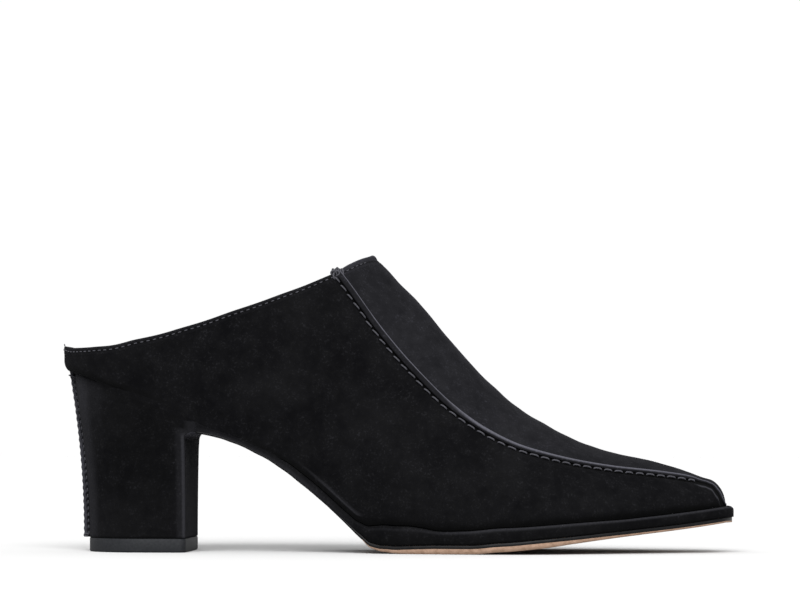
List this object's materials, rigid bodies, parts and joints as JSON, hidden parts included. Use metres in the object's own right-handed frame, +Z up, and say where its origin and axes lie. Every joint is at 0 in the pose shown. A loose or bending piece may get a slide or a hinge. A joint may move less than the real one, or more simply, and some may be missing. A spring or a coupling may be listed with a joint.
{
  "type": "high-heeled mule",
  "caption": "Backless-style suede mule with a low back lip, raised hand-stitched apron seam, squared toe and covered block heel.",
  "frame": {"origin": "on the floor, halfway between the back of the upper and the tip of the sole band", "axes": "+X to the toe, -Y to the outer side of a right shoe, +Z up"},
  "size_m": [0.25, 0.081, 0.1098],
  "materials": {
    "suede": "black suede, short dry nap, no gloss",
    "lining": "smooth black lining leather",
    "sole_leather": "natural tan sole leather with a black painted edge",
    "rubber": "black heel rubber, slightly glossy"
  },
  "bodies": {
    "root": {"upper": "suede", "insole": "lining", "midsole": "suede", "outsole": "sole_leather", "heel": "suede", "top_piece": "rubber"}
  },
  "joints": []
}
